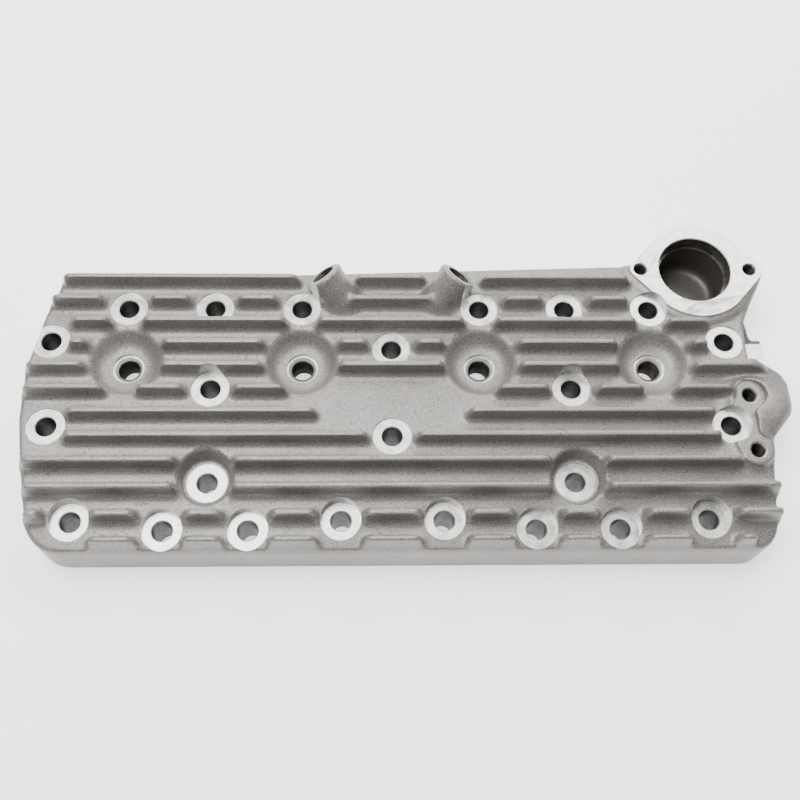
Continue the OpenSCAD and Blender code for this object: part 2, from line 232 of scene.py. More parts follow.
# sizes in millimetres, as the source has them
head = {
    "floor": 42.0, "front": 91.0, "slopeFrom": -36.0, "slope": 11.5, "slopeSoft": 2.0, "band": 26.5, "lean": 11.0,
    "wallRound": 2.0, "edgeRound": 3.0, "rootRound": 4.2, "planPasses": 5,
    "leftEdge": [(-203.5, 82), (-212, 57), (-219.5, 22), (-219.5, -12), (-211.5, -68)],
    "leftCorner": (-188.5, -68, 23), "rightCorner": (209, -75, 16),
    "rightEdge": [(226.5, -26), (239, -11), (240.5, -6), (240.5, 10), (237.5, 17), (226.5, 26),
                  (226.5, 45.5), (221, 53), (235.5, 83.5), (235.5, 93.3), (140, 93.3)],
}
# the cast body is a distance field on a grid, so every inside corner gets its casting radius
space = {"voxel": 0.8, "low": (-226, -97, -6), "high": (247, 128, 72), "margin": 6.0, "aboveFins": 56}


def arc(cx, cy, r, start, end, count=8):
    turns = [math.radians(start + (end - start) * i / count) for i in range(count + 1)]
    return [(cx + r * math.cos(a), cy + r * math.sin(a)) for a in turns]


outline = head["leftEdge"] + arc(*head["leftCorner"], 180, 270)[1:] \
    + arc(*head["rightCorner"], 270, 360) + head["rightEdge"]
low = np.floor(np.array(space["low"]) / space["voxel"]).astype(int)
high = np.ceil(np.array(space["high"]) / space["voxel"]).astype(int)
gx, gy, gz = [(np.arange(a, b) * space["voxel"]).astype(np.float32) for a, b in zip(low, high)]


def smoothMin(a, b, k):
    # k is the width over which the two fields blend
    h = np.maximum(k - np.abs(a - b), 0) / k
    return np.minimum(a, b) - h * h * k * 0.25


def smoothMax(a, b, k):
    return -smoothMin(-a, -b, k)


def window(lo, hi):
    # the part of the grid round a box, and its axes
    part, axes = [], []
    for axis, g in enumerate([gx, gy, gz]):
        a, b = np.searchsorted(g, lo[axis] - space["margin"]), np.searchsorted(g, hi[axis] + space["margin"])
        part.append(slice(a, b))
        shape = [1, 1, 1]
        shape[axis] = -1
        axes.append(g[a:b].reshape(shape))
    return tuple(part), axes


def around(x, y, room):
    return [(x + dx, y + dy, z) for dx, dy, z in room]


def add(lo, hi, shape, k):
    part, axes = window(lo, hi)
    field[part] = smoothMin(field[part], shape(*axes), k)


def cut(lo, hi, shape, k):
    part, axes = window(lo, hi)
    field[part] = smoothMax(field[part], -shape(*axes), k)


def polygonField(points, x, y):
    p = np.array(points, dtype=np.float32)
    near = np.full(np.broadcast(x, y).shape, 1e9, np.float32)
    inside = np.zeros(near.shape, bool)
    for a, b in zip(p, np.roll(p, -1, axis=0)):
        ex, ey = b - a
        t = np.clip(((x - a[0]) * ex + (y - a[1]) * ey) / (ex * ex + ey * ey), 0, 1)
        near = np.minimum(near, (x - a[0] - t * ex) ** 2 + (y - a[1] - t * ey) ** 2)
        rise = ey if abs(ey) > tiny else tiny
        inside ^= ((a[1] > y) != (b[1] > y)) & (x < ex * (y - a[1]) / rise + a[0])
    return np.where(inside, -1, 1) * np.sqrt(near)


def frustum(x, y, z, at, foot, top):
    # foot and top are each a height and a radius
    slope = (top[1] - foot[1]) / (top[0] - foot[0])
    return (np.hypot(x - at[0], y - at[1]) - (foot[1] + (z - foot[0]) * slope)) / math.sqrt(1 + slope * slope)


def floorDrop(y):
    # how far the cast floor has fallen at y, in front of the line where its slope begins
    soft = head["slopeSoft"]
    return np.logaddexp(0, (head["slopeFrom"] - y) / soft) * soft * math.tan(math.radians(head["slope"]))


flat = polygonField(outline, gx[:, None], gy[None, :])
for _ in range(head["planPasses"]):   # rounds the corners of the outline in plan
    inner = flat[1:-1, 1:-1]
    flat[1:-1, 1:-1] = (inner * 4 + flat[2:, 1:-1] + flat[:-2, 1:-1] + flat[1:-1, 2:] + flat[1:-1, :-2]) / 8
top = gz[None, None, :] - (head["floor"] - floorDrop(gy))[None, :, None]
halfSlope = math.radians(head["slope"] / 2)
field = smoothMax(flat[:, :, None], top * math.cos(halfSlope), head["edgeRound"]).astype(np.float32)
print("slab of the head")

# cutters for the machined faces and holes, each a list of points, faces and material numbers
cutter = {"through": -5.0, "planeTop": 60, "drillTop": 90, "segments": 72, "edge": 0.5}


def lathe(profile, at, axis=(0, 0, 1), bore=(), segments=cutter["segments"]):
    # bore names the bands of the profile that are bored walls
    turn = Vector((0, 0, 1)).rotation_difference(Vector(axis)).to_matrix()
    verts, faces, rings, finish = [], [], [], []
    for r, z in profile:
        if r < tiny:
            rings.append([len(verts)] * segments)
            verts.append(turn @ Vector((0, 0, z)) + Vector(at))
        else:
            rings.append(list(range(len(verts), len(verts) + segments)))
            for i in range(segments):
                a = 2 * math.pi * i / segments
                verts.append(turn @ Vector((r * math.cos(a), r * math.sin(a), z)) + Vector(at))
    for band, (lower, upper) in enumerate(zip(rings, rings[1:])):
        for i in range(segments):
            j = (i + 1) % segments
            loop = [lower[i], lower[j], upper[j], upper[i]]
            faces.append([v for n, v in enumerate(loop) if v not in loop[:n]])
            finish.append(boredSlot if band in bore else machinedSlot)
    return [tuple(v) for v in verts], faces, finish


def prism(points, z0, z1):
    n = len(points)
    verts = [(x, y, z0) for x, y in points] + [(x, y, z1) for x, y in points]
    faces = [list(range(n))[::-1], list(range(n, 2 * n))]
    faces += [[i, (i + 1) % n, n + (i + 1) % n, n + i] for i in range(n)]
    return verts, faces, [machinedSlot] * len(faces)


def drilled(radius, face, spot, at, bottom=cutter["through"], edge=cutter["edge"]):
    # a hole with a small chamfer and a spot face of its own
    above = cutter["drillTop"]
    profile = [(0, bottom), (radius, bottom), (radius, face - edge), (radius + edge, face), (spot, face),
               (spot, above), (0, above)]
    return lathe(profile, (at[0], at[1], 0), bore=(0, 1))


gasketCut = prism([(-260, -130), (280, -130), (280, 150), (-260, 150)], -20, 0)
planes, turned, toolCentres = [gasketCut], [], []

outlet = {
    "at": (193.5, 89.0), "face": 45.5, "recessR": 22.75, "recess": 9.5, "recessEdge": 0.6, "recessSegments": 128,
    "recessOver": 0.05, "cavityR": 21.15, "bottom": 11.0, "cavityRound": 6, "cavityLip": 1, "span": 34.9,
    "boltR": 4.1, "boltDepth": 18.0, "boltEdge": 0.6,
    "midR": 33.3, "tipR": 6.0, "tipOut": 1.8, "shift": 1.2, "thick": 9.0, "plateIn": 0.25, "plateRound": 1.5,
    "plateBlend": 2.5, "planeOut": 2.0, "neck": 5.0, "neckR": 22.0, "neckIn": 3, "neckRound": 2, "neckBlend": 4,
    "ledge": 44.0, "ledgeW": 4.0, "ledgeRound": 2.5, "ledgeEdge": 4, "ledgeBlend": 3,
    "room": [(-45, -40, 0), (45, 35, 48)], "cavityRoom": [(-24, -24, 12), (24, 24, 50)],
}


def flangeSizes(grow):
    return outlet["midR"] + grow, outlet["tipR"] + grow, outlet["span"] + outlet["tipOut"]


def flangeField(grow):
    mid, tip, span = flangeSizes(grow)
    side = (mid - tip) / span
    rise = math.sqrt(1 - side * side)

    def shape(x, y):
        px, py = np.abs(x - outlet["at"][0] - outlet["shift"]), np.abs(y - outlet["at"][1])
        along = px * rise - py * side
        beyond = np.where(along > span * rise, np.hypot(px - span, py) - tip, px * side + py * rise - mid)
        return np.where(along < 0, np.hypot(px, py) - mid, beyond)
    return shape


def flangeOutline(grow, count=24):
    mid, tip, span = flangeSizes(grow)
    a = math.degrees(math.acos((mid - tip) / span))
    ox, oy = outlet["at"][0] + outlet["shift"], outlet["at"][1]
    return arc(ox + span, oy, tip, -a, a, count) + arc(ox, oy, mid, a, 180 - a, count) \
        + arc(ox - span, oy, tip, 180 - a, 180 + a, count) + arc(ox, oy, mid, 180 + a, 360 - a, count)


def castOutlet():
    ox, oy = outlet["at"]
    face, thick, foot, inward = outlet["face"], outlet["thick"], outlet["neck"], outlet["neckIn"]
    plateField, ledgeField = flangeField(-outlet["plateIn"]), flangeField(outlet["ledgeW"])
    room, cavityRoom = around(ox, oy, outlet["room"]), around(ox, oy, outlet["cavityRoom"])

    def neck(x, y, z):
        cone = frustum(x, y, z, outlet["at"], (foot, outlet["neckR"]), (face - thick, outlet["midR"] - inward))
        return smoothMax(cone, np.maximum(foot - z, z - face + inward), outlet["neckRound"])

    def plate(x, y, z):
        slab = np.abs(z - face + thick / 2 - 1) - thick / 2 - 1
        return smoothMax(plateField(x, y) + 0 * z, slab, outlet["plateRound"])

    def cavity(x, y, z):
        wall = np.hypot(x - ox, y - oy) - outlet["cavityR"]
        return smoothMax(wall + 0 * z, outlet["bottom"] - z, outlet["cavityRound"])

    add(*room, neck, outlet["neckBlend"])
    part, (x, y, z) = window(*room)
    ledge = smoothMax(ledgeField(x, y), z - outlet["ledge"], outlet["ledgeRound"])
    ledge = smoothMax(ledge, flat[part[0], part[1]][:, :, None], outlet["ledgeEdge"])
    field[part] = smoothMin(field[part], ledge, outlet["ledgeBlend"])
    add(*room, plate, outlet["plateBlend"])
    cut(*cavityRoom, cavity, outlet["cavityLip"])


def machineOutlet():
    ox, oy = outlet["at"]
    face, above, r, edge = outlet["face"], cutter["planeTop"], outlet["recessR"], outlet["recessEdge"]
    ledge = face - outlet["recess"]
    planes.append(prism(flangeOutline(outlet["planeOut"]), face, above))
    profile = [(0, ledge), (r, ledge), (r, face - edge), (r + edge, face + outlet["recessOver"]),
               (r + edge, above), (0, above)]
    turned.append(lathe(profile, (ox, oy, 0), bore=(0, 1), segments=outlet["recessSegments"]))
    for sign in sides:
        turned.append(drilled(outlet["boltR"], face, outlet["boltR"] + outlet["boltEdge"],
                              (ox + sign * outlet["span"], oy), face - outlet["boltDepth"]))
    toolCentres.append(outlet["at"])


castOutlet()
machineOutlet()
print("water outlet")

lug = {"x": 220.0, "y": (28.0, 44.0), "face": 30.0, "skin": 1.2, "rise": 1.3, "proud": 3, "planeRight": 260,
       "block": (214, 234.5, 26, 45.5), "blockZ": (-6, 34), "planRound": 3, "topRound": 1.5, "blend": 2,
       "clearRoom": [(218, 26, 30), (242, 62, 56)]}


def castLug():
    x0, x1, y0, y1 = lug["block"]
    (front, rear), (z0, z1) = lug["y"], lug["blockZ"]
    face = lug["face"]

    def block(x, y, z):
        plan = smoothMax(np.maximum(x0 - x, x - x1), np.maximum(y0 - y, y - y1), lug["planRound"])
        return smoothMax(plan + 0 * z, z - face - lug["proud"], lug["topRound"])

    def clear(x, y, z):
        # open above the face, and the cast floor falls to it from behind
        ground = face + lug["skin"] + np.maximum(y - rear, 0) * lug["rise"]
        return np.maximum(np.maximum(lug["x"] - x, front - y), ground - z)
    add((x0, y0, z0), (x1, y1, z1), block, lug["blend"])
    cut(*lug["clearRoom"], clear, lug["blend"])
    corners = [(lug["x"], front), (lug["planeRight"], front), (lug["planeRight"], rear), (lug["x"], rear)]
    planes.append(prism(corners, face, cutter["planeTop"]))


castLug()
print("lug")

port = {"at": (42.5, 79.0, 55.0), "lean": 52.0, "turn": 43.0, "bossR": 12.25, "slim": 0.1, "length": 20.0,
        "mouthRound": 2.6, "blend": 6, "room": [(-36, -36, 20), (36, 20, 68)],
        "clearR": 15.0, "clearBlend": 3.0, "clearRoom": [(-36, -20, 30), (36, 20, 66)],
        "hole": 7.75, "depth": 22.0, "drillTip": 3, "edge": 0.6, "edgeDepth": 0.5, "over": 0.1, "above": 4}


def portAxis(sign):
    lean, turn = math.radians(port["lean"]), math.radians(port["turn"])
    return (sign * math.sin(lean) * math.cos(turn), math.sin(lean) * math.sin(turn), math.cos(lean))


def portMouth(sign):
    return (sign * port["at"][0],) + port["at"][1:]


def castPort(sign):
    (dx, dy, dz), (px, py, pz) = portAxis(sign), portMouth(sign)

    def reach(x, y, z):
        # how far a place is out along the axis from the mouth, and how far from the axis
        along = (x - px) * dx + (y - py) * dy + (z - pz) * dz
        return along, np.sqrt(np.maximum((x - px) ** 2 + (y - py) ** 2 + (z - pz) ** 2 - along * along, 0))

    def boss(x, y, z):
        along, across = reach(x, y, z)
        girth = port["bossR"] + np.clip(along, -port["length"], 0) * port["slim"]
        body = np.hypot(across, np.minimum(along + port["length"], 0)) - girth
        return smoothMax(body, along, port["mouthRound"])

    def clear(x, y, z):   # keeps the fins out of the way of the pipe
        along, across = reach(x, y, z)
        return np.maximum(across - port["clearR"], -along)
    add(*around(px, py, port["room"]), boss, port["blend"])
    cut(*around(px, py, port["clearRoom"]), clear, port["clearBlend"])
    r, depth, above = port["hole"], port["depth"], port["above"]
    mouthR = r + port["edge"]
    profile = [(0, -depth - port["drillTip"]), (r, -depth), (r, -port["edgeDepth"]), (mouthR, port["over"]),
               (mouthR, above), (0, above)]
    turned.append(lathe(profile, (px, py, pz), (dx, dy, dz), bore=(0, 1, 2, 3)))


for sign in sides:
    castPort(sign)
print("pipe ports")

pad = {"holes": [(215.5, 1.5), (215.5, -34.0)], "face": 45.5, "r": 9.2, "holeR": 4.65, "depth": 20.0, "chamfer": 1.0,
       "spotOut": 1.1, "stud": (203, -17), "studR": 14.2, "left": 204.0, "dome": (224.5, -6.0, 10.5), "domeR": 40.0,
       "domeBlend": 6, "webBlend": 7, "ringBlend": 8, "footRound": 5, "rimRound": 2, "edgeRound": 3, "lip": 1.0,
       "room": [(190, -50, 20), (245, 30, 56)], "edgeRoom": [(190, -50, 20), (245, 18, 56)]}


def castPad():
    part, (x, y, z) = window(*pad["room"])
    dx, dy, dz = pad["dome"]
    dome = np.sqrt((x - dx) ** 2 + (y - dy) ** 2 + (z - dz) ** 2) - pad["domeR"]
    edge = flat[part[0], part[1]][:, :, None]
    field[part] = smoothMin(field[part], smoothMax(dome, edge, pad["domeBlend"]), pad["domeBlend"])

    def plan(x, y):
        upper, lower = [np.hypot(x - hx, y - hy) - pad["r"] for hx, hy in pad["holes"]]
        ring = np.hypot(x - pad["stud"][0], y - pad["stud"][1]) - pad["studR"]
        ring = smoothMax(ring, pad["left"] - x, pad["ringBlend"])
        return smoothMin(smoothMin(upper, ring, pad["webBlend"]), lower, pad["webBlend"])
    proud = smoothMax(plan(x, y) + 0 * z, z - pad["face"], pad["rimRound"])
    field[part] = smoothMin(field[part], smoothMax(proud, edge, pad["edgeRound"]), pad["footRound"])
    cut(*pad["room"], lambda x, y, z: np.maximum(plan(x, y) + 0 * z, pad["face"] - z), pad["lip"])
    part, _ = window(*pad["edgeRoom"])
    field[part] = np.maximum(field[part], flat[part[0], part[1]][:, :, None])   # nothing stands out past the edge
    for at in pad["holes"]:
        turned.append(drilled(pad["holeR"], pad["face"], pad["holeR"] + pad["spotOut"], at,
                              pad["face"] - pad["depth"], edge=pad["chamfer"]))


castPad()
print("ear and bracket pad")

# every row of fins: left end (None where it runs to the edge), right end, gaps on one side as centre and half width,
# and the length over which its right end fades, where it does
fins = {
    "top": 53.5, "first": 79.0, "pitch": 15.0, "tipHalf": 1.7, "draft": 6.0, "round": 1.3, "sink": 3.0,
    "inset": 3.4, "insetShare": 0.3, "endRound": 7.0, "roundShare": 0.45, "endTall": 11.0, "endRoom": 16,
    "endBlend": 1.0, "setIn": 1.0, "proud": 2.0, "proudFrom": 218, "edgeBlend": 3, "shortest": 8.0, "band": 9.0,
    "rows": [
        (None, 150.8, [(39.5, 16)]),
        (None, 150.8, [(47.5, 20.5), (108.5, 12.7), (161.5, 12.7)]),
        (195, 197.7, [(54.5, 8), (160.5, 8)]),
        (195, 195, [(0, 12.7), (54.5, 21), (160.5, 21)]),
        (None, 229, [(54.5, 21), (160.5, 21)], 18),
        (None, 206.3, [(0, 61.5), (108.5, 12.7), (160.5, 8)]),
        (191.5, 194, [(0, 43.5)]),
        (191.5, 195.5, [(0, 12.7)]),
        (None, 206.3, [(108.5, 14.5)]),
        (None, 227.5, [(108.5, 14.5)]),
        (None, 227.5, [(30, 12.2), (83.5, 12.2), (132.5, 12.2), (185.5, 12.2)]),
        (197, 210.5, [(30, 12.2), (83.5, 12.2), (132.5, 12.2), (185.5, 12.2)]),
    ],
}


def finLines():
    # every stretch of fin: its two ends, y, how far it has dropped, and the fade of its right end
    edgeX, edgeY = zip(*head["leftEdge"][::-1])
    lines = []
    for i, (left, right, gaps, *fade) in enumerate(fins["rows"]):
        y = fins["first"] - i * fins["pitch"]
        left = left or -float(np.interp(y, edgeY, edgeX)) - fins["setIn"]
        drop = max(0.0, head["slopeFrom"] - y) * math.tan(math.radians(head["slope"]))
        if gaps[0][0] > gaps[0][1]:   # the stretch across the centre line
            reach = gaps[0][0] - gaps[0][1]
            lines.append((-reach, reach, y, drop, 0))
        for sign, end in ((1, right), (-1, left)):
            starts = [centre + half for centre, half in gaps]
            stops = [centre - half for centre, half in gaps[1:]] + [end]
            for a, b in zip(starts, stops):
                if b - a > fins["shortest"]:
                    x0, x1 = sorted((sign * a, sign * b))
                    lines.append((x0, x1, y, drop, fade[0] if fade and x1 == right else 0))
    return lines


def treeWith(name, sockets):
    tree = bpy.data.node_groups.new(name, "GeometryNodeTree")
    tree.interface.new_socket("Geometry", in_out="INPUT", socket_type="NodeSocketGeometry")
    tree.interface.new_socket("Geometry", in_out="OUTPUT", socket_type="NodeSocketGeometry")
    for label, kind in sockets.items():
        tree.interface.new_socket(label, in_out="INPUT", socket_type="NodeSocket" + kind)
    entry, leave = tree.nodes.new("NodeGroupInput"), tree.nodes.new("NodeGroupOutput")

    def make(kind, settings=None, **links):
        made = tree.nodes.new(kind)
        for key, value in (settings or {}).items():
            setattr(made, key, value)
        for key, value in links.items():
            socket = made.inputs[key.replace("_", " ")]
            if isinstance(value, bpy.types.NodeSocket):
                tree.links.new(value, socket)
            else:
                socket.default_value = value
        return made

    def times(socket, factor):
        made = make("ShaderNodeMath", {"operation": "MULTIPLY"})
        tree.links.new(socket, made.inputs[0])
        made.inputs[1].default_value = factor
        return made.outputs[0]

    def finishWith(geometry):
        real = make("GeometryNodeRealizeInstances", Geometry=geometry)
        done = make("GeometryNodeSetMaterial", Geometry=real.outputs[0], Material=entry.outputs["Finish"])
        tree.links.new(done.outputs[0], leave.inputs[0])
        return tree
    return tree, entry.outputs, make, times, finishWith


def plain(piece):
    # turns what the modifiers make into an ordinary mesh
    graph = bpy.context.evaluated_depsgraph_get()
    made = bpy.data.meshes.new_from_object(piece.evaluated_get(graph))
    piece.modifiers.clear()
    piece.data = made
    return piece


def runTree(name, verts, edges, tree, values, turns=()):
    mesh = bpy.data.meshes.new(name)
    mesh.from_pydata(verts, edges, [])
    if turns:
        mesh.attributes.new("turn", "FLOAT_VECTOR", "POINT").data.foreach_set("vector", np.ravel(turns))
    piece = linked(name, mesh)
    modifier = piece.modifiers.new("nodes", "NODES")
    modifier.node_group = tree
    for item in tree.interface.items_tree:
        if item.in_out == "INPUT" and item.name in values:
            modifier[item.identifier] = values[item.name]
    return plain(piece)


def finTree():
    # a rib with a tapered section on every edge, and a cone that rounds it in plan at every end
    tree, sizes, make, times, finishWith = treeWith("coolingFins", {
        "Height": "Float", "Foot Width": "Float", "Tip Width": "Float", "Finish": "Material"})
    spine = make("GeometryNodeMeshToCurve", Mesh=sizes["Geometry"])
    upright = make("GeometryNodeSetCurveNormal", {"mode": "Z_UP"}, Curve=spine.outputs[0])
    section = make("GeometryNodeCurvePrimitiveQuadrilateral", {"mode": "TRAPEZOID"}, Height=sizes["Height"],
                   Bottom_Width=sizes["Foot Width"], Top_Width=sizes["Tip Width"], Offset=0.0)
    # a profile's Y runs downwards on a level curve
    lift = make("ShaderNodeCombineXYZ", Y=times(sizes["Height"], -0.5))
    stood = make("GeometryNodeTransform", Geometry=section.outputs[0], Translation=lift.outputs[0],
                 Rotation=(0, 0, math.pi))
    ribs = make("GeometryNodeCurveToMesh", Curve=upright.outputs[0], Profile_Curve=stood.outputs[0], Fill_Caps=True)
    cone = make("GeometryNodeMeshCone", Radius_Bottom=times(sizes["Foot Width"], 0.5), Vertices=32,
                Radius_Top=times(sizes["Tip Width"], 0.5), Depth=sizes["Height"])
    ends = make("GeometryNodeInstanceOnPoints", Points=sizes["Geometry"], Instance=cone.outputs[0])
    joined = make("GeometryNodeJoinGeometry")
    tree.links.new(ribs.outputs[0], joined.inputs[0])
    tree.links.new(ends.outputs[0], joined.inputs[0])
    return finishWith(joined.outputs[0])


def ribsField(lines):
    # the distance to the ribs, whose sections are drawn small and grown by their rounding
    soft, draft = fins["round"], math.tan(math.radians(fins["draft"]))
    tall = fins["top"] - soft - head["floor"] + fins["sink"]
    tip = 2 * (fins["tipHalf"] - soft)
    verts, edges = [], []
    for x0, x1, y, drop, _ in lines:
        z = head["floor"] - drop - fins["sink"]
        edges.append((len(verts), len(verts) + 1))
        inset = min(fins["inset"], (x1 - x0) * fins["insetShare"])
        verts += [(x0 + inset, y, z), (x1 - inset, y, z)]
    ribs = runTree("fins", verts, edges, finTree(),
                   {"Height": tall, "Foot Width": tip + 2 * tall * draft, "Tip Width": tip, "Finish": cast})
    ribs.data.calc_loop_triangles()
    points = readArray(ribs.data.vertices, "co", np.float32, 3).astype(np.float64)
    triangles = readArray(ribs.data.loop_triangles, "vertices", np.int32, 3).astype(np.uint32)
    scale = openvdb.createLinearTransform(voxelSize=space["voxel"])
    grid = openvdb.FloatGrid.createLevelSetFromPolygons(points, triangles, None, scale, fins["band"])
    bpy.data.objects.remove(ribs)
    distance = np.empty((len(gx), len(gy), len(gz)), np.float32)
    grid.copyToArray(distance, ijk=tuple(int(v) for v in low))
    return distance - soft


def castFins():
    global field
    lines = finLines()
    ribs = ribsField(lines)
    for x0, x1, y, drop, fade in lines:   # seen from the side, the upper corner of each end is a quarter of an ellipse
        crown, tall, r = fins["top"] - drop, fins["endTall"], min(fins["endRound"], (x1 - x0) * fins["roundShare"])
        rightR = fade or r
        part, (x, _, z) = window((x0, y - 1, crown - fins["endRoom"]), (x1, y + 1, crown))
        up = np.maximum(z - crown + tall, 0) / tall
        left, right = np.maximum(x0 + r - x, 0) / r, np.maximum(x - x1 + rightR, 0) / rightR
        side = (np.sqrt(np.maximum(left, right) ** 2 + up ** 2) - 1) * r
        ribs[part] = smoothMax(ribs[part], side + 0 * ribs[part], fins["endBlend"])
    # the right ends stand out past the edge
    proud = np.where(gx > fins["proudFrom"], fins["proud"], 0)[:, None, None]
    ribs = smoothMax(ribs, flat[:, :, None] - proud, fins["edgeBlend"])
    field = smoothMin(field, ribs, head["rootRound"])
    back = np.maximum(gz - head["band"], 0) * math.tan(math.radians(head["lean"]))   # the leaning front wall
    field = smoothMax(field, back[None, None, :] - head["front"] - gy[None, :, None], head["wallRound"])
    print("fins:", len(lines))


castFins()

well = {"out": 0.5, "under": 2.5}   # how far the cut's room reaches past a well


def castBowl(at, foot, mouthR, bottom, soft, lip):
    # a round well in the floor: foot is the height and radius where its cone begins, soft and lip its radii
    def bowl(x, y, z):
        cone = frustum(x, y, z, at, foot, (head["floor"], mouthR))
        shaft = np.hypot(x - at[0], y - at[1]) - mouthR + 0 * z
        return smoothMax(np.maximum(cone, shaft), bottom - z, soft)
    half = mouthR + well["out"]
    cut((at[0] - half, at[1] - half, bottom - well["under"]),
        (at[0] + half, at[1] + half, space["aboveFins"]), bowl, lip)


studs = {
    "hole": 6.0, "spot": 41.0, "spotR": 11.5, "lowSpot": 30.0, "lowSpotR": 12.0,
    "wellFootR": 14.2, "wellR": 16.5, "wellFoot": 1.0, "wellBottom": 0.7, "wellRound": 2,
    "upper": [(55, 61.5), (108.5, 61.5), (161.5, 61.5), (206.5, 39), (203, -17), (108.5, 7)],
    "centre": [(0, 33.5), (0, -23.5)],
    "front": [(185.5, -72), (132.5, -77.5), (83.5, -77.5), (30, -72)],
    "well": (108.5, -48.5),
}


def machineStuds():
    upper = [(sign * x, y) for sign in sides for x, y in studs["upper"]] + studs["centre"]
    deep = [(sign * x, y) for sign in sides for x, y in studs["front"] + [studs["well"]]]
    turned.extend(drilled(studs["hole"], studs["spot"], studs["spotR"], at) for at in upper)
    turned.extend(drilled(studs["hole"], studs["lowSpot"], studs["lowSpotR"], at) for at in deep)
    toolCentres.extend(upper + deep)


for sign in sides:
    base = studs["lowSpot"]
    castBowl((sign * studs["well"][0], studs["well"][1]), (base + studs["wellFoot"], studs["wellFootR"]),
             studs["wellR"], base + studs["wellBottom"], studs["wellRound"], studs["wellRound"])
machineStuds()
print("stud faces and small wells")

plugs = {"x": [54.5, 160.5], "y": 25.0, "hole": 6.95, "chamfer": 1.5, "seat": 30.5, "seatR": 9.75, "roof": 11.0,
         "well": 32.5, "mouthR": 21.5, "bottomR": 15.5, "bottomRound": 5, "lipRound": 2.5}


def castPlugWell(at):
    castBowl(at, (plugs["well"], plugs["bottomR"]), plugs["mouthR"], plugs["well"], plugs["bottomRound"],
             plugs["lipRound"])
    turned.append(drilled(plugs["hole"], plugs["seat"], plugs["seatR"], at, edge=plugs["chamfer"]))
    toolCentres.append(at)


chambers = {"depth": 11.0, "roofRound": 4, "lobeR": 20.0, "pitch": 38.0, "valveY": 28.5, "linkY": 23.5, "linkHalf": 15,
            "transfer": 5.0, "transferRound": 3, "frontY": -8.0, "bore": 40.5, "boreY": -29.0,
            "lip": 1, "room": [(-42, -12, -6), (42, 52, 12)]}


def castChamber(cx):
    half, valveY = chambers["pitch"] / 2, chambers["valveY"]

    def chamber(x, y, z):
        lobes = np.minimum(np.hypot(x - cx - half, y - valveY), np.hypot(x - cx + half, y - valveY)) - chambers["lobeR"]
        link = np.maximum(np.abs(x - cx) - half, np.abs(y - chambers["linkY"]) - chambers["linkHalf"])
        deep = smoothMax(np.minimum(lobes, link) + 0 * z, z - chambers["depth"], chambers["roofRound"])
        bore = np.maximum(np.hypot(x - cx, y - chambers["boreY"]) - chambers["bore"], chambers["frontY"] - y)
        shallow = smoothMax(bore + 0 * z, z - chambers["transfer"], chambers["transferRound"])
        return smoothMin(deep, shallow, chambers["roofRound"])
    cut(*around(cx, 0, chambers["room"]), chamber, chambers["lip"])


for px in plugs["x"] + [-x for x in plugs["x"]]:
    castPlugWell((px, plugs["y"]))
    castChamber(px)
print("plug wells and chambers")

coolant = {"r": 5.5, "depth": 16.0,
           "at": [(81.75, 66), (135, 66), (57, -80), (108.5, -80), (159, -80), (108.5, -20), (203, 11)]}

for sign in sides:
    for x, y in coolant["at"]:
        r, depth, below = coolant["r"], coolant["depth"], cutter["through"]
        turned.append(lathe([(0, below), (r, below), (r, depth), (0, depth)], (sign * x, y, 0), bore=(1, 2)))
print("coolant holes")

casting = {"triangles": 150000, "sharp": 32.0, "band": 3}


def meshCasting():
    limit = casting["band"] * space["voxel"]
    body = openvdb.FloatGrid(limit)
    body.copyFromArray(np.clip(field, -limit, limit), ijk=tuple(int(v) for v in low), tolerance=1e-5)
    body.transform = openvdb.createLinearTransform(voxelSize=space["voxel"])
    points, triangles, quads = body.convertToPolygons(isovalue=0.0, adaptivity=0.0)
    mesh = bpy.data.meshes.new("castingShape")
    mesh.from_pydata((points * mm).tolist(), [], triangles.tolist() + quads.tolist())
    piece = linked("casting", mesh)
    thin = piece.modifiers.new("thin", "DECIMATE")
    thin.ratio = casting["triangles"] / (len(triangles) + 2 * len(quads))
    plain(piece)
    for finish in (cast, machined, bored):
        piece.data.materials.append(finish)
    print("cast body:", len(piece.data.polygons), "faces")
    return piece


def machineWith(target, shapes, name):
    verts, faces, finish = [], [], []
    for v, f, m in shapes:
        faces += [[i + len(verts) for i in face] for face in f]
        verts += [(x * mm, y * mm, z * mm) for x, y, z in v]
        finish += m
    mesh = bpy.data.meshes.new(name)
    mesh.from_pydata(verts, [], faces)
    for material in (cast, machined, bored):
        mesh.materials.append(material)
    mesh.polygons.foreach_set("material_index", finish)
    tool = linked(name, mesh)
    modifier = target.modifiers.new("cut", "BOOLEAN")
    modifier.object, modifier.operation, modifier.solver = tool, "DIFFERENCE", "MANIFOLD"
    plain(target)
    bpy.data.objects.remove(tool)
    print(name, len(target.data.polygons), "faces")


def mapToolPath(mesh):
    # a map whose length is the distance from the nearest tool centre
    centres = np.array(toolCentres, np.float32) * mm
    co = readArray(mesh.vertices, "co", np.float32, 3)
    corner = readArray(mesh.loops, "vertex_index", np.int32, 1)[:, 0]
    gaps = np.stack([np.hypot(co[:, 0] - c[0], co[:, 1] - c[1]) for c in centres])
    uv = (co[:, :2] - centres[gaps.argmin(0)])[corner]
    mesh.uv_layers.new(name="toolPath").data.foreach_set("uv", uv.ravel())


headCasting = meshCasting()
machineWith(headCasting, planes, "machinedFaces")
machineWith(headCasting, turned, "turnedCuts")
mapToolPath(headCasting.data)
headCasting.data.shade_smooth()
headCasting.data.set_sharp_from_angle(angle=math.radians(casting["sharp"]))

